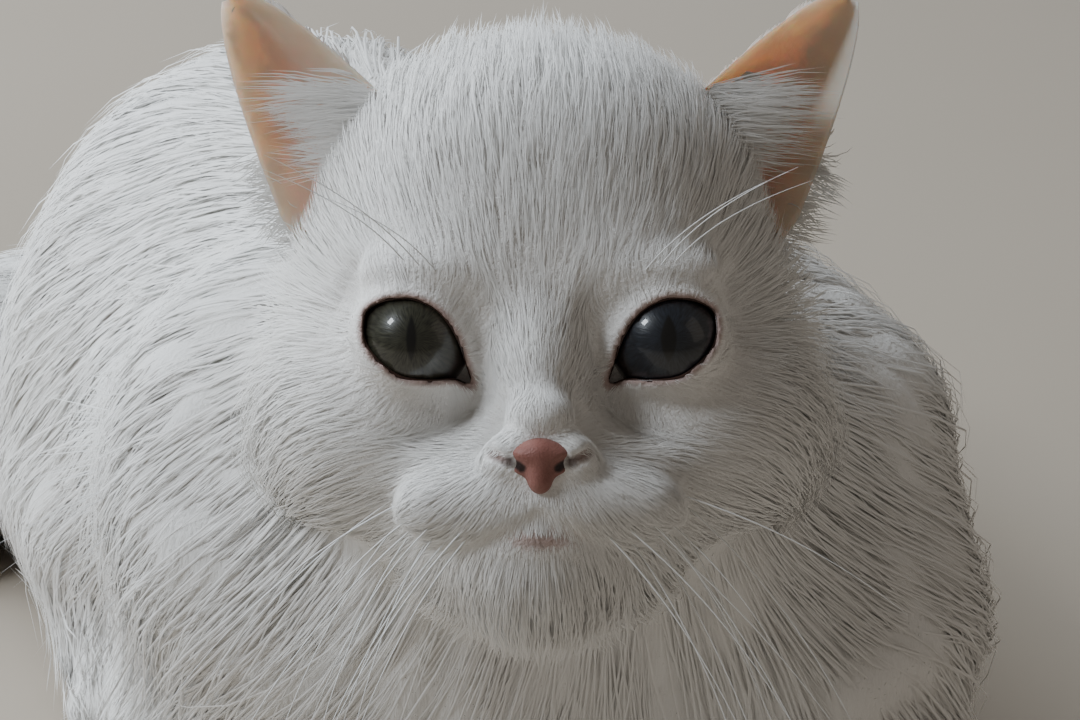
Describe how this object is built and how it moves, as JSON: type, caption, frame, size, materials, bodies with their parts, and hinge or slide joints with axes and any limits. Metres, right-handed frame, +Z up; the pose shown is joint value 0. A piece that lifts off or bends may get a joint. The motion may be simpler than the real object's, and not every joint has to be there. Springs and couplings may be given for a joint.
{
  "type": "lying long-haired cat figure",
  "caption": "Life-size still figure of a white Persian cat lying on its chest, head raised, with a long coat and a wide ruff.",
  "frame": {"origin": "on the floor, under the middle of the whole figure with its coat", "axes": "+X to the cat's left, -Y the way its chest faces, +Z up"},
  "size_m": [0.2712, 0.4584, 0.2249],
  "materials": {
    "coat": "white long hair over dense undercoat",
    "ear_skin": "thin pink skin with white hair",
    "nose_leather": "bare pink skin",
    "eye_green": "wet gloss",
    "eye_blue": "wet gloss"
  },
  "bodies": {
    "root": {"head": "coat", "ear_right": "ear_skin", "ear_left": "ear_skin", "eye_right": "eye_green", "eye_left": "eye_blue", "nose": "nose_leather", "neck": "coat", "torso": "coat", "foreleg_right": "coat", "foreleg_left": "coat", "forepaw_right": "coat", "forepaw_left": "coat", "hindleg_right": "coat", "hindleg_left": "coat", "hindpaw_right": "coat", "hindpaw_left": "coat", "tail_base": "coat", "tail_bend": "coat", "tail_middle": "coat", "tail_tip": "coat"}
  },
  "joints": []
}
